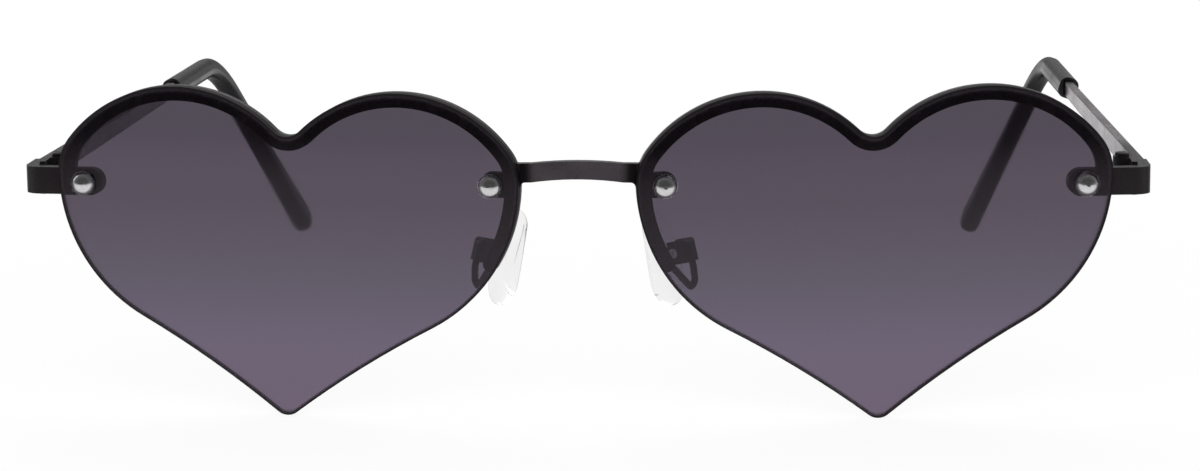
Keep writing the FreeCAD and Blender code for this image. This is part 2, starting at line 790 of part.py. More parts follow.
def make_front_hinge():
    """Leaf on the end piece with the upper and lower knuckles."""
    body = new_body("left_front_hinge", hinge_place)
    plate_outer = hinge_offset
    plate_inner = plate_outer - size("leaf_thickness")
    plate_end = size("leaf_end_gap") - size("return_leg")
    low = size("middle_knuckle") / 2 + size("knuckle_gap")
    outline = leaf_outline(plate_inner, plate_outer, plate_end, 0)
    knuckle = "(sizes.barrel_height - sizes.middle_knuckle) / 2 - sizes.knuckle_gap"
    root = -size("knuckle_radius") - size("knuckle_room")
    corners = rectangle(plate_inner, plate_end, plate_outer, root)
    plate = new_sketch(body, "plate_outline", "XY_Plane", [corners])
    pad(body, "plate", plate, "sizes.leaf_height", middle=True)
    upper = new_sketch(body, "upper_outline", "XY_Plane", [outline], up(low))
    pad(body, "upper_knuckle", upper, knuckle)
    outline = leaf_outline(plate_inner, plate_outer, plate_end, 0)
    lower = new_sketch(body, "lower_outline", "XY_Plane", [outline], up(-low))
    pad(body, "lower_knuckle", lower, knuckle, reverse=True)
    drill = new_sketch(body, "bore_outline", "XY_Plane", [bore("hinge_screw_radius", "screw_fit")])
    pocket(body, "bore", drill, "2 * sizes.barrel_height", middle=True)
    return body


def make_temple_hinge():
    """Leaf on the temple bar with the middle knuckle, which turns on the hinge screw."""
    body = new_body("left_temple_hinge", temple_place)
    plate_inner = bar_inner - size("leaf_thickness")
    plate_end = size("temple_leaf_length")
    outline = leaf_outline(plate_inner, bar_inner, plate_end, size("butt_gap") / 2)
    knuckle = new_sketch(body, "knuckle_outline", "XY_Plane", [outline])
    pad(body, "middle_roll", knuckle, "sizes.middle_knuckle", middle=True)
    root = size("knuckle_radius") + size("knuckle_room")
    corners = rectangle(plate_inner, root, bar_inner, plate_end)
    plate = new_sketch(body, "plate_outline", "XY_Plane", [corners])
    pad(body, "plate", plate, "sizes.leaf_height", middle=True)
    hole = bore("hinge_screw_radius", "running_clearance")
    drill = new_sketch(body, "bore_outline", "XY_Plane", [hole])
    pocket(body, "bore", drill, "2 * sizes.barrel_height", middle=True)
    return body


def make_hinge_screw():
    body = new_body("left_hinge_screw", hinge_place)
    radius = size("hinge_screw_radius")
    head = size("hinge_head_radius")
    seat = size("barrel_height") / 2
    top = seat + size("hinge_head_height")
    profile = [
        Vector(0, -seat, 0),
        Vector(radius, -seat, 0),
        Vector(radius, seat, 0),
        Vector(head, seat, 0),
        Vector(head, top, 0),
        Vector(0, top, 0),
    ]
    revolve(body, "turned_screw", new_sketch(body, "screw_profile", "XZ_Plane", [polygon(profile)]))
    return body


# Temple bar and its plastic tip

def bend_plane():
    """Offset of a sketch on the YZ plane into the leaning plane of the temple's bend."""
    return Placement(Vector(0, 0, bar_middle), Rotation(SIDE_AXIS, size("lean_angle")))


def bend_path(start, end_gap):
    """Middle line of the tip in its bend plane, from a distance along the temple to short of the end."""
    turn = radians("bend_angle")
    radius = size("bend_radius")
    bend_start = Vector(size("temple_reach") - tangent_length, 0, 0)
    centre = bend_start - Vector(0, radius, 0)
    bend_end = polar(centre, radius, math.pi / 2 - turn)
    tail = Vector(math.cos(turn), -math.sin(turn), 0)
    end = bend_end + tail * (tail_run + paddle_radius - end_gap)
    return [
        (Part.LineSegment(Vector(start, 0, 0), bend_start), None),
        (arc_about(centre, bend_start, bend_end), "sizes.bend_radius"),
        (Part.LineSegment(bend_end, end), None),
    ]


def core_pipe(body, kind, section):
    """Round wire, or the bore for it, along the middle line of the tip."""
    profile = new_sketch(body, "core_section", "XZ_Plane", [section], back(mouth_end))
    line = bend_path(mouth_end, size("core_end_gap"))
    path = new_sketch(body, "core_path", "YZ_Plane", [line], bend_plane())
    doc.recompute()
    pipe = body.newObject(f"PartDesign::{kind}", "core")
    pipe.Profile = profile
    pipe.Spine = path
    doc.recompute()
    return pipe


def make_temple():
    """Flat bar from the hinge into the mouth of the tip, drawn down there to a round core wire."""
    body = new_body("left_temple", temple_place)
    start = size("butt_gap") / 2
    front = size("bar_front_height") / 2
    rear = size("bar_rear_height") / 2
    corners = [
        Vector(start, -front, 0),
        Vector(mouth_end, -rear, 0),
        Vector(mouth_end, rear, 0),
        Vector(start, front, 0),
    ]
    side = Placement(Vector(0, 0, bar_middle), Rotation())
    sketch = new_sketch(body, "bar_side", "YZ_Plane", [polygon(corners)], side)
    pad(body, "bar", sketch, "sizes.bar_thickness", middle=True)

    def along_the_bar(edge):
        return edge.Length > (mouth_end - start) / 2
    round_edges(body, "bar_edges", "Fillet", along_the_bar, "sizes.bar_edge_radius")
    core_pipe(body, "AdditivePipe", disc("core_radius", Vector(bar_middle, 0, 0)))
    return body


def tip_outline():
    """Side of the tip in its bend plane: straight sleeve, bend and a tail that flares to a paddle."""
    turn = radians("bend_angle")
    half = sleeve_half_height
    bend_start = Vector(size("temple_reach") - tangent_length, 0, 0)
    centre = bend_start - Vector(0, size("bend_radius"), 0)
    upper = size("bend_radius") + half
    lower = size("bend_radius") - half
    tail = Vector(math.cos(turn), -math.sin(turn), 0)
    across = Vector(math.sin(turn), math.cos(turn), 0)
    flare = (tail_run ** 2 + half ** 2 - paddle_radius ** 2) / (2 * size("paddle_flare"))
    paddle = centre + across * size("bend_radius") + tail * tail_run
    upper_end = centre + across * upper
    lower_end = centre + across * lower
    upper_flare = upper_end + across * flare
    lower_flare = lower_end - across * flare
    upper_touch = towards(upper_flare, paddle, flare)
    lower_touch = towards(lower_flare, paddle, flare)
    mouth_top = Vector(sleeve_start, half, 0)
    mouth_bottom = Vector(sleeve_start, -half, 0)
    bend_top = Vector(bend_start.x, half, 0)
    bend_bottom = Vector(bend_start.x, -half, 0)
    paddle_end = paddle + tail * paddle_radius
    return [
        (Part.LineSegment(mouth_top, bend_top), None),
        (arc_about(centre, bend_top, upper_end), f"sizes.bend_radius + {SLEEVE_HALF_HEIGHT}"),
        (arc_about(upper_flare, upper_end, upper_touch), None),
        (arc(upper_touch, paddle_end, lower_touch), f"{SLEEVE_HALF_HEIGHT} + sizes.paddle_flare"),
        (arc_about(lower_flare, lower_touch, lower_end), None),
        (arc_about(centre, lower_end, bend_bottom), f"sizes.bend_radius - {SLEEVE_HALF_HEIGHT}"),
        (Part.LineSegment(bend_bottom, mouth_bottom), None),
        (Part.LineSegment(mouth_bottom, mouth_top), None),
    ]


def make_temple_tip():
    body = new_body("left_temple_tip", temple_place)
    sketch = new_sketch(body, "tip_side", "YZ_Plane", [tip_outline()], bend_plane())
    pad(body, "tip_blank", sketch, f"2 * {SLEEVE_HALF_WIDTH}", middle=True)
    lean = radians("lean_angle")
    normal = Vector(math.cos(lean), 0, -math.sin(lean))

    def on_a_side(edge):
        point = edge_middle(edge)
        apart = abs((point - Vector(bar_middle, 0, 0)).dot(normal))
        return abs(apart - sleeve_half_width) < SAME_POINT and point.y > sleeve_start + SAME_POINT
    tip_round = f"{SLEEVE_HALF_WIDTH} * sizes.sleeve_round_share"
    round_edges(body, "tip_round", "Fillet", on_a_side, tip_round)

    half_mouth = size("bar_thickness") / 2 + size("mouth_clearance")
    half_tall = size("bar_rear_height") / 2 + size("mouth_clearance")
    opening = rectangle(bar_middle - half_mouth, -half_tall, bar_middle + half_mouth, half_tall)
    mouth = new_sketch(body, "mouth_outline", "XZ_Plane", [opening], back(sleeve_start))
    pocket(body, "mouth", mouth, "sizes.mouth_depth")
    core_pipe(body, "SubtractivePipe", bore("core_radius", "core_fit", Vector(bar_middle, 0, 0)))
    return body


# Nose pad, pad box, pad screw and pad arm

def make_pad_box():
    """Channel that holds the tongue of the pad between two cheeks."""
    body = new_body("left_pad_box", pad_place)
    half = size("box_width") / 2
    front = -size("box_front")
    corners = [
        Vector(front, box_half_width, 0),
        Vector(front, half, 0),
        Vector(size("box_back"), half, 0),
        Vector(size("box_back"), -half, 0),
        Vector(front, -half, 0),
        Vector(front, -box_half_width, 0),
        Vector(box_outer_back, -box_half_width, 0),
        Vector(box_outer_back, box_half_width, 0),
    ]
    channel = new_sketch(body, "channel_plan", "XY_Plane", [polygon(corners)])
    pad(body, "channel", channel, "sizes.box_height", middle=True)

    def back_edge(edge):
        """Edges of the back, but for the one under which the arm ends."""
        at_back = all(abs(vertex.X - box_outer_back) < SAME_POINT for vertex in edge.Vertexes)
        return at_back and any(vertex.Z > 0 for vertex in edge.Vertexes)
    round_edges(body, "box_back_edges", "Fillet", back_edge, "sizes.box_round")
    drill = new_sketch(body, "cheek_bore", "XZ_Plane", [bore("pad_screw_radius", "screw_fit")])
    pocket(body, "bore", drill, "2 * (sizes.box_width + 2 * sizes.box_wall)", middle=True)
    return body


def make_pad_insert():
    """Tongue on the back of the pad, round about the pad screw so that the pad can rock."""
    body = new_body("left_pad_insert", pad_place)
    radius = size("tongue_radius")
    top = Vector(0, radius, 0)
    bottom = Vector(0, -radius, 0)
    root_top = Vector(-pad_back, radius, 0)
    root_bottom = Vector(-pad_back, -radius, 0)
    tongue = [
        (Part.LineSegment(root_top, top), None),
        (arc(top, Vector(radius, 0, 0), bottom), "sizes.tongue_radius"),
        (Part.LineSegment(bottom, root_bottom), None),
        (Part.LineSegment(root_bottom, root_top), None),
    ]
    outlines = [tongue, bore("pad_screw_radius", "running_clearance")]
    sketch = new_sketch(body, "tongue_side", "XZ_Plane", outlines)
    pad(body, "tongue", sketch, "sizes.box_width - 2 * sizes.tongue_clearance", middle=True)
    return body


def make_nose_pad():
    """Soft clear pad, a drop shape with round edges."""
    body = new_body("left_nose_pad", pad_place)
    lower = size("pad_lower_radius")
    upper = size("pad_upper_radius")
    spacing = size("pad_spacing")
    slope = math.asin((lower - upper) / spacing)
    low = Vector(0, -spacing / 2, 0)
    high = Vector(0, spacing / 2, 0)
    low_touch = polar(low, lower, slope)
    high_touch = polar(high, upper, slope)
    drop = [
        (Part.LineSegment(low_touch, high_touch), None),
        (arc(high_touch, high + Vector(0, upper, 0), flip(high_touch)), "sizes.pad_upper_radius"),
        (Part.LineSegment(flip(high_touch), flip(low_touch)), None),
        (arc(flip(low_touch), low - Vector(0, lower, 0), low_touch), "sizes.pad_lower_radius"),
    ]
    face = Placement(Vector(0, 0, -pad_back), Rotation())
    sketch = new_sketch(body, "pad_outline", "YZ_Plane", [drop], face)
    pad(body, "pad_blank", sketch, "sizes.pad_thickness", reverse=True)

    def around(edge):
        return len(set(round(vertex.X / SAME_POINT) for vertex in edge.Vertexes)) == 1
    round_edges(body, "pad_edge", "Fillet", around, "sizes.pad_thickness * sizes.pad_round_share")
    return body


def make_pad_screw():
    body = new_body("left_pad_screw", pad_place)
    radius = size("pad_screw_radius")
    head = size("pad_head_radius")
    top = -box_half_width - size("pad_head_height")
    profile = [
        Vector(0, top, 0),
        Vector(head, top, 0),
        Vector(head, -box_half_width, 0),
        Vector(radius, -box_half_width, 0),
        Vector(radius, box_half_width, 0),
        Vector(0, box_half_width, 0),
    ]
    revolve(body, "turned_screw", new_sketch(body, "screw_profile", "XY_Plane", [polygon(profile)]))
    return body


def bent_wire(points, radius):
    """Edges of a polyline whose corners are rounded by tangent arcs."""
    edges = []
    start = points[0]
    for before, corner, after in zip(points, points[1:], points[2:]):
        inward = (before - corner).normalize()
        outward = (after - corner).normalize()
        opening = inward.getAngle(outward)
        cut = radius / math.tan(opening / 2)
        bisector = (inward + outward).normalize()
        middle = corner + bisector * (radius / math.sin(opening / 2) - radius)
        edges.append(Part.LineSegment(start, corner + inward * cut).toShape())
        edges.append(Part.Arc(corner + inward * cut, middle, corner + outward * cut).toShape())
        start = corner + outward * cut
    edges.append(Part.LineSegment(start, points[-1]).toShape())
    return edges


def make_pad_arm():
    """Bent wire from the nasal end of the rim back, down and up into the underside of the pad box."""
    root = lens_place.multVec(Vector(nasal_end.x, rim_back, nasal_end.y))
    knee = lens_place.multVec(Vector(nasal_end.x, rim_back + size("arm_root"), nasal_end.y))
    low_along = nasal_end.x + size("arm_low_aside")
    low_height = nasal_end.y - size("arm_low_drop")
    low = lens_place.multVec(Vector(low_along, size("arm_low_depth"), low_height))
    underside = -size("box_height") / 2
    wall_middle = size("box_back") + size("box_back_wall") / 2
    seat = pad_place.multVec(Vector(wall_middle, 0, underside))
    stub = pad_place.multVec(Vector(wall_middle, 0, underside - size("arm_stub")))
    spine = doc.addObject("Part::Feature", "arm_spine")
    spine.Shape = Part.Wire(bent_wire([root, knee, low, stub, seat], size("arm_bend")))
    section = doc.addObject("Part::Circle", "arm_section")
    section.setExpression("Radius", "sizes.arm_radius")
    section.Placement = Placement(root, Rotation(UP_AXIS, knee - root))
    arm = doc.addObject("Part::Sweep", "left_pad_arm")
    arm.Label = "left_pad_arm"
    arm.Sections = [section]
    arm.Spine = (spine, [f"Edge{number}" for number in range(1, len(spine.Shape.Edges) + 1)])
    arm.Solid = True
    return arm


def main():
    left = [
        make_lens(),
        make_rim(),
        make_end_piece(),
        make_front_hinge(),
        make_temple_hinge(),
        make_temple(),
        make_temple_tip(),
        make_pad_arm(),
        make_pad_box(),
        make_pad_insert(),
        make_nose_pad(),
    ]
    right = [mirror(piece, piece.Label.replace("left_", "right_")) for piece in left]
    hinge_screw = make_hinge_screw()
    pad_screw = make_pad_screw()
    shared = [
        make_bridge(),
        make_fasteners("lens_screws", make_lens_screw),
        make_fasteners("lens_washers", make_washer),
        make_fasteners("lens_nuts", make_nut),
        group("hinge_screws", [hinge_screw, mirror(hinge_screw, "right_hinge_screw")]),
        group("pad_screws", [pad_screw, mirror(pad_screw, "right_pad_screw")]),
    ]
    doc.recompute()
    for item in doc.Objects:
        if "Invalid" in item.State or "Error" in item.State:
            raise RuntimeError(f"{item.Label}: {item.State}")
    pieces = left + right + shared
    for piece in pieces:
        if piece.Shape.isNull() or not piece.Shape.isValid() or not piece.Shape.Solids:
            raise RuntimeError(f"{piece.Label}: no valid solid")
    os.makedirs("parts", exist_ok=True)
    for piece in pieces:
        piece.Shape.exportStep(f"parts/{piece.Label}.step")
    print(f"{len(pieces)} nodes written, temple pitch {temple_pitch():.3f} degrees")
    print(f"left hinge axis at {tuple(round(value, 3) for value in hinge_point)}")
    print(f"left pad screw at {tuple(round(value, 3) for value in pad_point)}")
    print(f"left pad axis {tuple(round(value, 5) for value in pad_turn.multVec(DEPTH_AXIS))}")


main()
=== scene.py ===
"""Looks of the heart shaped sunglasses.

Materials, soft nose pads, slotted screws, floor, light and camera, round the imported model.
"""
import json
import math

import bmesh
import bpy
from mathutils import Matrix, Vector


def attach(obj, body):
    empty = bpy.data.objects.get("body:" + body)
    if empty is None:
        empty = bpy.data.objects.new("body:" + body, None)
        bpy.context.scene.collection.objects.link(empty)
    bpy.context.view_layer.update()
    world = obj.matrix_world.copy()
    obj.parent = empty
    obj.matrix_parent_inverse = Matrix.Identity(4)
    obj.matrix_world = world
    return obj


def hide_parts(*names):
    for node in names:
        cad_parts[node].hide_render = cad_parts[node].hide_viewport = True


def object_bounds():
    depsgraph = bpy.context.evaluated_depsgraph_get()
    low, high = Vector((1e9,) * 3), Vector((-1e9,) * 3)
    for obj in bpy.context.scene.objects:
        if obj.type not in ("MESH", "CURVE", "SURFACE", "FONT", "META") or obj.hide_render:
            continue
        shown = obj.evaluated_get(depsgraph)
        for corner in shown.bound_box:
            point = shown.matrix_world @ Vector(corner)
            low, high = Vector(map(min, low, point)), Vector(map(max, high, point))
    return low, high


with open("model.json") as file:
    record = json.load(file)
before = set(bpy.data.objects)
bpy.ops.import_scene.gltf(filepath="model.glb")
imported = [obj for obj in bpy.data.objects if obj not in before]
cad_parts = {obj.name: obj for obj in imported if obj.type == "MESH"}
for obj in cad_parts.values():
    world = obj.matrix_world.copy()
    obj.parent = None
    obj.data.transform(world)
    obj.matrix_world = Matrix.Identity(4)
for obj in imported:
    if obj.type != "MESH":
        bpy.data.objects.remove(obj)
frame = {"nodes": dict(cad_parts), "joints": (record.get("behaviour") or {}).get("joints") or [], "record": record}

cad_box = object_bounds()
nodes = frame["nodes"]
joints = {joint["name"]: joint for joint in frame["joints"]}
scene = bpy.context.scene
MM = 0.001


# Shader nodes

NOISE_LOW, NOISE_HIGH = 0.3, 0.7  # nearly all values of a noise texture lie between these
BUMP_EDGE_SAMPLES = 6


def feed(tree, node, values):
    """Link outputs to a node's inputs, or set plain values on them, by name or number."""
    for key, value in values.items():
        if isinstance(value, bpy.types.NodeSocket):
            tree.links.new(value, node.inputs[key])
        else:
            node.inputs[key].default_value = value


def add(tree, kind, values=None):
    """New node with its inputs fed."""
    node = tree.nodes.new(kind)
    feed(tree, node, values or {})
    return node


def object_place(tree):
    """Object coordinates, which are the model's own frame in metres."""
    return add(tree, "ShaderNodeTexCoord").outputs["Object"]


def component(tree, vector, axis):
    """One component of a vector."""
    return add(tree, "ShaderNodeSeparateXYZ", {"Vector": vector}).outputs[axis]


def axis_value(tree, axis):
    """One coordinate of the model's own frame, in metres."""
    return component(tree, object_place(tree), axis)


def noise(tree, scale, detail=3.0, stretch=(1, 1, 1)):
    """Noise value in the model's own frame."""
    mapping = add(tree, "ShaderNodeMapping", {"Vector": object_place(tree), "Scale": stretch})
    values = {"Vector": mapping.outputs["Vector"], "Scale": scale, "Detail": detail}
    return add(tree, "ShaderNodeTexNoise", values).outputs["Fac"]


def spread(tree, value, low, high, start=NOISE_LOW, end=NOISE_HIGH):
    """Value mapped to a range, from the range of a noise or from one that is given."""
    values = {"Value": value, "From Min": start, "From Max": end, "To Min": low, "To Max": high}
    return add(tree, "ShaderNodeMapRange", values).outputs["Result"]


def ramp(tree, value, stops):
    """Colour ramp over (position, colour) stops."""
    node = add(tree, "ShaderNodeValToRGB", {"Fac": value})
    elements = node.color_ramp.elements
    while len(elements) < len(stops):
        elements.new(0.5)
    for element, (position, colour) in zip(elements, stops):
        element.position = position
        element.color = (*colour, 1)
    return node.outputs["Color"]


def shades(tree, value, dark, light):
    """Colour that follows a noise from a dark shade to a light one."""
    return ramp(tree, value, [(NOISE_LOW, dark), (NOISE_HIGH, light)])


def colour_mix(tree, share, first, second):
    """Colour between two, by the share of the second."""
    node = add(tree, "ShaderNodeMix")
    node.data_type = "RGBA"
    feed(tree, node, {"Factor": share, "A": first, "B": second})
    return node.outputs["Result"]


def arithmetic(tree, operation, *values):
    """Result of one value or of two taken together."""
    node = add(tree, "ShaderNodeMath", dict(enumerate(values)))
    node.operation = operation
    return node.outputs["Value"]


def rounded_normal(tree, radius, samples):
    """Normal of the surface with its edges rounded by a radius."""
    node = add(tree, "ShaderNodeBevel", {"Radius": radius})
    node.samples = samples
    return node.outputs["Normal"]


def relief(tree, height, distance, strength, edge=None):
    """Normal with the relief of a height, on edges that are rounded by a radius if one is given."""
    node = add(tree, "ShaderNodeBump", {"Height": height, "Distance": distance, "Strength": strength})
    if edge:
        feed(tree, node, {"Normal": rounded_normal(tree, edge, BUMP_EDGE_SAMPLES)})
    return node.outputs["Normal"]


def camera_rays(tree, path):
    """1 for a ray from the camera, straight or through a clear piece, from a Light Path's outputs."""
    return arithmetic(tree, "MAXIMUM", path["Is Camera Ray"], path["Is Transmission Ray"])


# Materials: each look adds nodes to a tree and returns the inputs of its Principled shader

# Tint of the lens from its tip to its lobes, by its share of the height in metres
LENS_TOP = 0.0429
LENS_STOPS = [
    (0.05, (0.142, 0.11, 0.163)),
    (0.21, (0.137, 0.112, 0.168)),
    (0.42, (0.107, 0.091, 0.127)),
    (0.65, (0.093, 0.077, 0.104)),
    (0.79, (0.101, 0.083, 0.112)),
    (0.88, (0.097, 0.082, 0.109)),
]
# Cut edge of the lens: a near-black colour that paints shade on it, and a rounded normal that leans away from Y
# there
LENS_EDGE_PAINTED_SHADE = (0.012, 0.01, 0.0115, 1)
LENS_EDGE_RADIUS = 9e-4
LENS_EDGE_SAMPLES = 8
LENS_EDGE_FACING, LENS_FLAT_FACING = 0.94, 0.988


def lens_tint(tree):
    """Polished tinted plastic, darker towards the brow, with painted shade on its cut edge."""
    height = spread(tree, axis_value(tree, "Z"), 0, 1, 0, LENS_TOP)
    tint = ramp(tree, height, LENS_STOPS)
    normal = rounded_normal(tree, LENS_EDGE_RADIUS, LENS_EDGE_SAMPLES)
    facing = arithmetic(tree, "ABSOLUTE", component(tree, normal, "Y"))
    flat = spread(tree, facing, 0, 1, LENS_EDGE_FACING, LENS_FLAT_FACING)
    polished = spread(tree, noise(tree, 90.0, detail=4.0, stretch=(1, 1, 2.5)), 0.015, 0.05)
    sawn = spread(tree, flat, 0.5, 0, 0, 1)
    return {
        # painted shade: the cut edge is drawn near black instead of in the lens's own tint
        "Base Color": colour_mix(tree, flat, LENS_EDGE_PAINTED_SHADE, tint),
        "Roughness": arithmetic(tree, "MAXIMUM", polished, sawn),
        "Transmission Weight": flat,
        "Specular IOR Level": spread(tree, flat, 0.05, 0.5, 0, 1),
        "Specular Tint": (1, 0.85, 0.97, 1),
        "IOR": 1.5,
    }


# Distance from the middle, in metres, over which the painted sheen on the front of the bridge turns black
BRIDGE_SHEEN_FULL, BRIDGE_BLACK = 0.0052, 0.0066


def black_metal(tree):
    """Black lacquer with fine orange peel, and a painted sheen that makes the front of the bridge a little
    lighter.
    """
    cloud = noise(tree, 260.0)
    peel = noise(tree, 2600.0, detail=2.0)
    black = shades(tree, cloud, (0.0065, 0.0056, 0.0062), (0.011, 0.0095, 0.0105))
    # painted sheen: the front of the bridge drawn lighter where it faces the light
    painted_sheen = shades(tree, cloud, (0.037, 0.031, 0.0345), (0.054, 0.0455, 0.0507))
    aside = arithmetic(tree, "ABSOLUTE", axis_value(tree, "X"))
    middle = spread(tree, aside, 1, 0, BRIDGE_SHEEN_FULL, BRIDGE_BLACK)
    return {
        "Base Color": colour_mix(tree, middle, black, painted_sheen),
        "Roughness": spread(tree, peel, 0.24, 0.38),
        "Specular IOR Level": 0.25,
        "Specular Tint": (1, 0.9, 0.97, 1),
        "Normal": relief(tree, peel, distance=4e-6, strength=0.5, edge=1.2e-4),
    }


# Y in metres over which the black front end of a temple turns grey
TEMPLE_BLACK, TEMPLE_GREY = -0.044, -0.038
TEMPLE_BLACK_COLOUR = (0.03, 0.027, 0.029, 1)


def gunmetal(tree):
    """Drawn metal strip under thin grey lacquer, with faint lines along it and a black front end."""
    cloud = noise(tree, 200.0)
    lines = noise(tree, 900.0, stretch=(3, 0.06, 3))
    grey = shades(tree, lines, (0.265, 0.239, 0.258), (0.338, 0.306, 0.331))
    behind = spread(tree, axis_value(tree, "Y"), 0, 1, TEMPLE_BLACK, TEMPLE_GREY)
    return {
        "Base Color": colour_mix(tree, behind, TEMPLE_BLACK_COLOUR, grey),
        "Metallic": 1.0,
        "Roughness": spread(tree, cloud, 0.2, 0.32),
        "Normal": relief(tree, lines, distance=3e-6, strength=0.4, edge=1.0e-4),
    }


def polished_steel(tree):
    """Polished steel with fine turning marks."""
    marks = noise(tree, 3000.0, detail=2.0, stretch=(1, 6, 1))
    return {
        "Base Color": shades(tree, marks, (0.62, 0.61, 0.62), (0.74, 0.73, 0.74)),
        "Metallic": 1.0,
        "Roughness": spread(tree, marks, 0.2, 0.28),
    }


def clear_plastic(tree):
    """Clear plastic with a faint cloud in it."""
    cloud = noise(tree, 400.0)
    return {
        "Base Color": shades(tree, cloud, (0.9, 0.9, 0.91), (0.96, 0.96, 0.97)),
        "Roughness": spread(tree, cloud, 0.05, 0.12),
        "Transmission Weight": 1.0,
        "IOR": 1.47,
    }


def clear_soft(tree):
    """Clear silicone with a faint cloud in it, which bends light less than the plastic."""
    cloud = noise(tree, 400.0)
    return {
        "Base Color": shades(tree, cloud, (0.94, 0.94, 0.94), (0.99, 0.99, 0.99)),
        "Roughness": spread(tree, cloud, 0.05, 0.15),
        "Transmission Weight": 1.0,
        "IOR": 1.08,
    }


def black_plastic(tree):
    """Smooth moulded plastic with a faint grain."""
    grain = noise(tree, 1800.0, detail=4.0)
    cloud = noise(tree, 140.0)
    return {
        "Base Color": shades(tree, cloud, (0.008, 0.008, 0.009), (0.014, 0.013, 0.015)),
        "Roughness": spread(tree, cloud, 0.2, 0.34),
        "Specular IOR Level": 0.28,
        "Specular Tint": (1, 0.92, 0.98, 1),
        "Normal": relief(tree, grain, distance=5e-6, strength=0.3),
    }


def make_material(slot, look):
    """Material of a slot, whose Principled shader is fed by a look."""
    material = bpy.data.materials.new(slot)
    material.use_nodes = True
    tree = material.node_tree
    feed(tree, tree.nodes["Principled BSDF"], look(tree))
    return material


LOOKS = {
    "lens_tint": lens_tint,
    "black_metal": black_metal,
    "gunmetal": gunmetal,
    "polished_steel": polished_steel,
    "clear_plastic": clear_plastic,
    "clear_soft": clear_soft,
    "black_plastic": black_plastic,
}
MATERIALS = {slot: make_material(slot, look) for slot, look in LOOKS.items()}


def dress(piece, slot):
    """Give a piece the material of a slot."""
    piece.data.materials.clear()
    piece.data.materials.append(MATERIALS[slot])


for part in frame["record"]["subparts"]:
    dress(nodes[part["node"]], part["material_slot"])


# Pieces of the scene

MIRROR = Matrix.Scale(-1, 4, Vector((1, 0, 0)))


def new_piece(name, mesh, body, slot):
    """Piece that rides on a body and wears the material of a slot."""
    piece = bpy.data.objects.new(name, mesh)
    scene.collection.objects.link(piece)
    dress(piece, slot)
    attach(piece, body)
    return piece


def band(skin, low, high):
    """Faces between two rings of as many points."""
    for index in range(len(low)):
        following = (index + 1) % len(low)
        skin.faces.new((low[index], low[following], high[following], high[index]))


def skin_mesh(name, skin, smooth):
    """Mesh of a closed skin, with its faces turned outwards."""
    bmesh.ops.recalc_face_normals(skin, faces=skin.faces)
    for face in skin.faces:
        face.smooth = smooth
    mesh = bpy.data.meshes.new(name)
    skin.to_mesh(mesh)
    skin.free()
    return mesh


# Soft nose pads, in mm and degrees

# Place of the left pad about its screw: its normal is X, its screw lies along Y
PAD_TURN, PAD_LEAN = -25, -14
PAD_PLACE = (
    Matrix.Translation(Vector(joints["left_pad_rock"]["pos_m"]))
    @ Matrix.Rotation(math.radians(PAD_TURN), 4, "Z")
    @ Matrix.Rotation(math.radians(PAD_LEAN), 4, "Y")
)
# Drop shaped outline: radii of the lower and upper ends, distance of their centres, points in a ring
DROP_LOW, DROP_HIGH = 3.6, 2.7
DROP_SPACING = 6.6
DROP_POINTS = 28
# Insets and depths of the pad's rings from the middle of its back to the crown that meets the nose
PAD_PROFILE = [
    (2.45, -1.72), (2.1, -1.7), (1.5, -1.62), (0.85, -1.62), (0.35, -1.8), (0.08, -2.15), (0.0, -2.55),
    (0.1, -3.0), (0.38, -3.4), (0.8, -3.68), (1.35, -3.86), (1.9, -3.95), (2.45, -3.98),
]


def drop_ring(inset, depth):
    """Ring of the drop shaped pad, set in from its outline, at a depth along its normal."""
    low, high = DROP_LOW - inset, DROP_HIGH - inset
    slope = math.asin((low - high) / DROP_SPACING)
    points = []
    for number in range(DROP_POINTS):
        angle = 2 * math.pi * (number + 0.5) / DROP_POINTS - math.pi / 2
        upper = math.sin(angle) > math.sin(slope)
        centre, radius = (DROP_SPACING / 2, high) if upper else (-DROP_SPACING / 2, low)
        point = Vector((depth, radius * math.cos(angle), centre + radius * math.sin(angle)))
        points.append(point * MM)
    return points


def make_nose_pad(side, matrix):
    """Soft pad with a rounded skin, in place of the plain CAD one."""
    skin = bmesh.new()
    rings = []
    for inset, depth in PAD_PROFILE:
        rings.append([skin.verts.new(matrix @ point) for point in drop_ring(inset, depth)])
    for low, high in zip(rings, rings[1:]):
        band(skin, low, high)
    skin.faces.new(rings[0])
    skin.faces.new(rings[-1])
    mesh = skin_mesh(f"{side}_soft_pad", skin, smooth=True)
    pad = new_piece(f"{side}_soft_pad", mesh, f"{side}_pad", "clear_soft")
    rounding = pad.modifiers.new("smooth", "SUBSURF")
    rounding.levels = 1
    rounding.render_levels = 1
    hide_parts(f"{side}_nose_pad")


# Slotted screws, in mm and degrees

# Radius and height of the head, radius and length of the shank, width of the slot
HINGE_SCREW = {"head": 0.95, "height": 0.45, "shank": 0.6, "length": 4.3, "slot": 0.3}
PAD_SCREW = {"head": 0.65, "height": 0.3, "shank": 0.35, "length": 3.0, "slot": 0.2}
# Height of the head's seat above the joint, and turn of the slot
HINGE_SCREW_SEAT, HINGE_SCREW_TURN = 2.15, 35
PAD_SCREW_SEAT, PAD_SCREW_TURN = 1.5, 60
# Slotted head: height of the slot's floor as a share, points on a cheek and across an end of the slot
SLOT_FLOOR_SHARE = 0.45
CHEEK_POINTS = 21
SLOT_POINTS = 3
HEAD_CHAMFER = 0.08


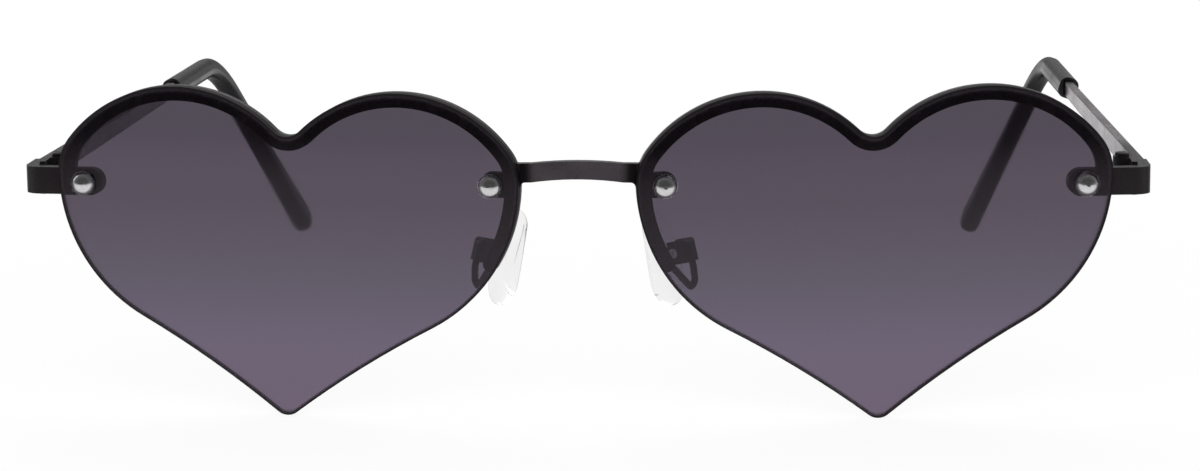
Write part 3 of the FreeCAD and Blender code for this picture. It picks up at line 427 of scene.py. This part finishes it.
def slotted_screw(skin, matrix, head, height, shank, length, slot):
    """Screw with a driver slot across its head, as one closed skin."""
    edge = math.asin(slot / 2 / head)
    cheek_step = (math.pi - 2 * edge) / (CHEEK_POINTS - 1)
    slot_step = 2 * edge / (SLOT_POINTS + 1)
    half_turn = [edge + cheek_step * number for number in range(CHEEK_POINTS)]
    half_turn += [math.pi - edge + slot_step * (number + 1) for number in range(SLOT_POINTS)]
    angles = half_turn + [math.pi + angle for angle in half_turn]

    def ring(points, level):
        return [skin.verts.new(matrix @ (Vector((*point, level)) * MM)) for point in points]

    def circle(radius):
        return [Vector((radius * math.cos(angle), radius * math.sin(angle))) for angle in angles]

    levels = [(shank, -length), (shank, 0), (head, 0), (head, SLOT_FLOOR_SHARE * height)]
    rings = [ring(circle(radius), level) for radius, level in levels]
    for low, high in zip(rings, rings[1:]):
        band(skin, low, high)
    skin.faces.new(rings[0])
    brim = rings[-1]
    half = len(half_turn)
    for first in (0, half):
        outline = circle(head)[first:first + CHEEK_POINTS]
        centre = sum(outline, Vector((0, 0))) / CHEEK_POINTS
        inner = [point - (point - centre).normalized() * HEAD_CHAMFER for point in outline]
        shoulder = ring(outline, height - HEAD_CHAMFER)
        crown = ring(inner, height)
        band(skin, brim[first:first + CHEEK_POINTS], shoulder)
        band(skin, shoulder, crown)
        skin.faces.new(crown)
    skin.faces.new(brim[CHEEK_POINTS - 1:half + 1] + brim[half + CHEEK_POINTS - 1:] + brim[:1])


def make_screws(name, replaced, slot, matrix, sizes):
    """Slotted screws of both sides as one piece, in place of the plain CAD ones."""
    skin = bmesh.new()
    for screw_matrix in (matrix, MIRROR @ matrix):
        slotted_screw(skin, screw_matrix, **sizes)
    screws = new_piece(name, skin_mesh(name, skin, smooth=False), "front", slot)
    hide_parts(replaced)


def make_hinge_screws():
    """Screws that the temples fold about."""
    joint = joints["left_temple_fold"]
    upright = Vector((0, 0, 1)).rotation_difference(Vector(joint["axis"])).to_matrix().to_4x4()
    seat = Matrix.Translation(Vector((0, 0, HINGE_SCREW_SEAT)) * MM)
    turn = Matrix.Rotation(math.radians(HINGE_SCREW_TURN), 4, "Z")
    matrix = Matrix.Translation(Vector(joint["pos_m"])) @ upright @ seat @ turn
    make_screws("slotted_hinge_screws", "hinge_screws", "black_metal", matrix, HINGE_SCREW)


def make_pad_screws():
    """Screws that the nose pads rock about."""
    forward = Matrix.Rotation(math.pi / 2, 4, "X")
    seat = Matrix.Translation(Vector((0, 0, PAD_SCREW_SEAT)) * MM)
    turn = Matrix.Rotation(math.radians(PAD_SCREW_TURN), 4, "Z")
    matrix = PAD_PLACE @ (forward @ seat) @ turn
    make_screws("slotted_pad_screws", "pad_screws", "polished_steel", matrix, PAD_SCREW)


# Floor, light and camera

FLOOR_REACH = 6.0
FLOOR_GAP = 0.00005
FLOOR_COLOUR = (0.9, 0.9, 0.9, 1)
FLOOR_OWN_WHITE = 0.88  # share of the paper that the floor's own white hides from the camera
# Gleam of the floor in glossy surfaces, by its place along Y, with painted shade: dim far in front, where the
# floor is lit less, and a painted shadow of the glasses under them
GLEAM_WITH_PAINTED_SHADE = [
    (-0.40, 0.06), (-0.30, 0.09), (-0.25, 0.5), (-0.20, 0.74), (-0.12, 1.0),
    (-0.07, 1.0), (-0.04, 0.35), (0.10, 0.35), (0.16, 1.0),
]
# Light of the room, from a direction well in front of the glasses to straight behind them
ROOM_COLOUR = (0.918, 0.918, 0.918, 1)
ROOM_FRONT, ROOM_BACK = 0.08, 0.3
ROOM_FRONT_Y, ROOM_BACK_Y = -0.6, 1.0
# Soft lamps: place, width, height, power in watts, and whether glossy surfaces mirror them
LAMPS = {
    "back": ((0.15, 0.6, 0.75), 1.1, 0.8, 5.0, True),
    "side": ((-0.8, 0.55, 0.5), 0.9, 0.8, 3.2, True),
    "front": ((0.1, -0.9, 0.6), 1.2, 1.0, 10.0, False),
}
LAMP_TARGET = (0, 0, 0.02)
# Camera: place in mm, angles in degrees, focal length and image width in pixels, nearest point in metres
CAMERA_PLACE = (26.78, -457.18, 93.36)
CAMERA_TURN, CAMERA_TILT, CAMERA_ROLL = 3.55, 10.13, -0.53
FOCAL_PIXELS = 3123.67
IMAGE_WIDTH = 1200
SENSOR_WIDTH = 36
NEAREST_SEEN = 0.01


def make_floor():
    """Paper that keeps the shadow, with a white of its own for the camera and a gleam for gloss that carries
    painted shade.
    """
    mesh = bpy.data.meshes.new("floor")
    corners = [(-1, -1), (1, -1), (1, 1), (-1, 1)]
    mesh.from_pydata([(x * FLOOR_REACH, y * FLOOR_REACH, 0) for x, y in corners], [], [(0, 1, 2, 3)])
    floor = bpy.data.objects.new("floor", mesh)
    floor.location.z = cad_box[0][2] - FLOOR_GAP
    scene.collection.objects.link(floor)
    material = bpy.data.materials.new("floor_white")
    material.use_nodes = True
    tree = material.node_tree
    tree.nodes.clear()
    path = add(tree, "ShaderNodeLightPath").outputs
    seen, glossy = camera_rays(tree, path), path["Is Glossy Ray"]
    first, last = GLEAM_WITH_PAINTED_SHADE[0][0], GLEAM_WITH_PAINTED_SHADE[-1][0]
    along = spread(tree, axis_value(tree, "Y"), 0, 1, first, last)
    # the gleam's ramp paints shade far in front and a painted shadow of the glasses under them
    near = ramp(tree, along, [((y - first) / (last - first), (share,) * 3) for y, share in GLEAM_WITH_PAINTED_SHADE])
    shine = arithmetic(tree, "MAXIMUM", seen, arithmetic(tree, "MULTIPLY", glossy, near))
    white = add(tree, "ShaderNodeEmission", {"Color": FLOOR_COLOUR, "Strength": shine})
    paper = add(tree, "ShaderNodeBsdfDiffuse", {"Color": FLOOR_COLOUR})
    hidden = arithmetic(tree, "MAXIMUM", spread(tree, seen, 0, FLOOR_OWN_WHITE, 0, 1), glossy)
    faint = add(tree, "ShaderNodeMixShader", {"Fac": hidden, 1: paper.outputs["BSDF"]})
    both = add(tree, "ShaderNodeAddShader", {0: faint.outputs["Shader"], 1: white.outputs["Emission"]})
    add(tree, "ShaderNodeOutputMaterial", {"Surface": both.outputs["Shader"]})
    mesh.materials.append(material)


def make_world():
    """Studio room that is dim in front of the glasses and bright behind them, white to the camera."""
    world = bpy.data.worlds.new("studio")
    scene.world = world
    world.use_nodes = True
    tree = world.node_tree
    direction = add(tree, "ShaderNodeTexCoord").outputs["Generated"]
    backward = component(tree, direction, "Y")
    room = spread(tree, backward, ROOM_FRONT, ROOM_BACK, ROOM_FRONT_Y, ROOM_BACK_Y)
    seen = camera_rays(tree, add(tree, "ShaderNodeLightPath").outputs)
    strength = arithmetic(tree, "MAXIMUM", seen, room)
    feed(tree, tree.nodes["Background"], {"Color": ROOM_COLOUR, "Strength": strength})


def make_lamp(name, location, width, height, power, mirrored):
    """Soft lamp, which glossy surfaces mirror or not."""
    light = bpy.data.lights.new(name, "AREA")
    light.shape = "RECTANGLE"
    light.size = width
    light.size_y = height
    light.energy = power
    lamp = bpy.data.objects.new(name, light)
    lamp.location = location
    lamp.visible_glossy = mirrored
    lamp.rotation_euler = (Vector(LAMP_TARGET) - Vector(location)).to_track_quat("-Z", "Y").to_euler()
    scene.collection.objects.link(lamp)


def make_camera():
    """Camera at the photograph's angle."""
    turn, tilt, roll = (math.radians(angle) for angle in (CAMERA_TURN, CAMERA_TILT, CAMERA_ROLL))
    ahead = math.cos(tilt)
    backward = Vector((math.sin(turn) * ahead, -math.cos(turn) * ahead, math.sin(tilt)))
    level = Vector((math.cos(turn), math.sin(turn), 0))
    upright = backward.cross(level)
    right = level * math.cos(roll) + upright * math.sin(roll)
    upward = upright * math.cos(roll) - level * math.sin(roll)
    data = bpy.data.cameras.new("camera")
    data.sensor_fit = "HORIZONTAL"
    data.sensor_width = SENSOR_WIDTH
    data.lens = FOCAL_PIXELS / IMAGE_WIDTH * SENSOR_WIDTH
    data.clip_start = NEAREST_SEEN
    camera = bpy.data.objects.new("camera", data)
    scene.collection.objects.link(camera)
    rotation = Matrix((right, upward, backward)).transposed().to_4x4()
    camera.matrix_world = Matrix.Translation(Vector(CAMERA_PLACE) * MM) @ rotation
    scene.camera = camera


make_nose_pad("left", PAD_PLACE)
make_nose_pad("right", MIRROR @ PAD_PLACE)
make_hinge_screws()
make_pad_screws()
make_floor()
make_world()
for name, lamp in LAMPS.items():
    make_lamp(name, *lamp)
make_camera()
scene.view_settings.view_transform = "Standard"
